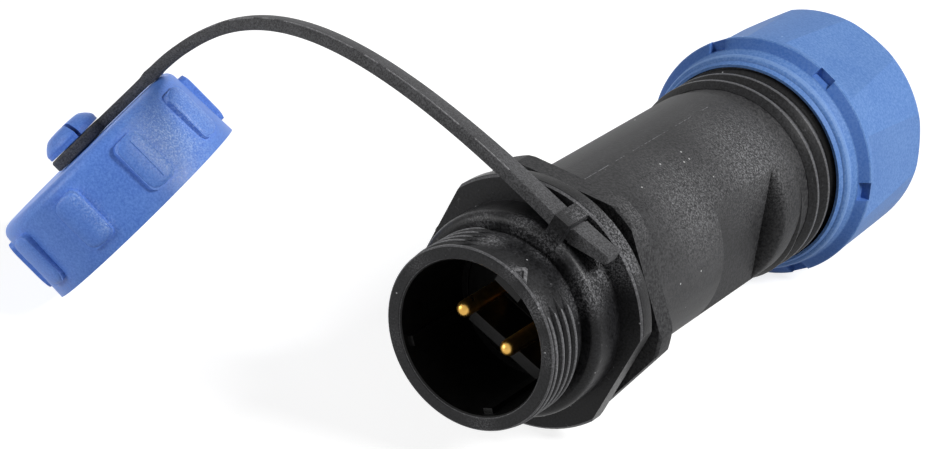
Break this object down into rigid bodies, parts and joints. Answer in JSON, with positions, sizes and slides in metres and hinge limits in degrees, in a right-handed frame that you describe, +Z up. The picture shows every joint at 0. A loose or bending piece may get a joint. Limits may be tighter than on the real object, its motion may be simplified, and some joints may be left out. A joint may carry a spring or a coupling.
{
  "type": "circular connector plug",
  "caption": "Round cable plug: threaded pin socket in front, black screwed shell, blue cable nut behind, and a blue dust cap held by a moulded strap.",
  "frame": {"origin": "centre of the mating rim, on the connector's axis", "axes": "+Y along the connector's axis from the mating rim towards the cable, +Z up as it lies, +X to the right seen from the mating end"},
  "size_m": [0.0775, 0.0694, 0.0349],
  "materials": {
    "black_nylon": "fine moulded texture",
    "strap_plastic": "plain moulded",
    "blue_nylon": "smooth moulded, matte",
    "gold_plate": "gold plate, satin",
    "seal_rubber": "moulded rubber",
    "washer_plastic": "plain moulded"
  },
  "bodies": {
    "back_body": {"back_shell": "black_nylon", "cable_seal": "seal_rubber"},
    "seal_body": {"joint_seal": "seal_rubber"},
    "front_body": {"front_shell": "black_nylon", "contact_insert": "black_nylon", "contact_pin_a": "gold_plate", "contact_pin_b": "gold_plate", "insert_ring": "black_nylon", "cap_strap": "strap_plastic"},
    "gland_body": {"gland_ring": "black_nylon", "slip_washer": "washer_plastic"},
    "nut_body": {"clamp_nut": "blue_nylon"},
    "cap_body": {"cap": "blue_nylon", "cap_gasket": "seal_rubber"}
  },
  "joints": [
    {"name": "seal_slide", "type": "slide", "parent": "back_body", "child": "seal_body", "axis": [0, -1, 0], "range_m": [0, 0.0076]},
    {"name": "front_turn", "type": "hinge", "parent": "seal_body", "child": "front_body", "pos_m": [0, 0, 0], "axis": [0, -1, 0], "range_deg": [0, 1800]},
    {"name": "gland_slide", "type": "slide", "parent": "back_body", "child": "gland_body", "axis": [0, 1, 0], "range_m": [-0.0024, 0.0083]},
    {"name": "nut_turn", "type": "hinge", "parent": "gland_body", "child": "nut_body", "pos_m": [0, 0, 0], "axis": [0, 1, 0], "range_deg": [-360, 1260]},
    {"name": "cap_swivel", "type": "hinge", "parent": "front_body", "child": "cap_body", "pos_m": [-0.056, 0.0127, 0.0026], "axis": [0.6624, 0.2543, -0.7046], "continuous": true}
  ],
  "couplings": [
    {"joint": "seal_slide", "follows": "front_turn", "m_per_rad": 0.00023873},
    {"joint": "gland_slide", "follows": "nut_turn", "m_per_rad": 0.00037194}
  ]
}
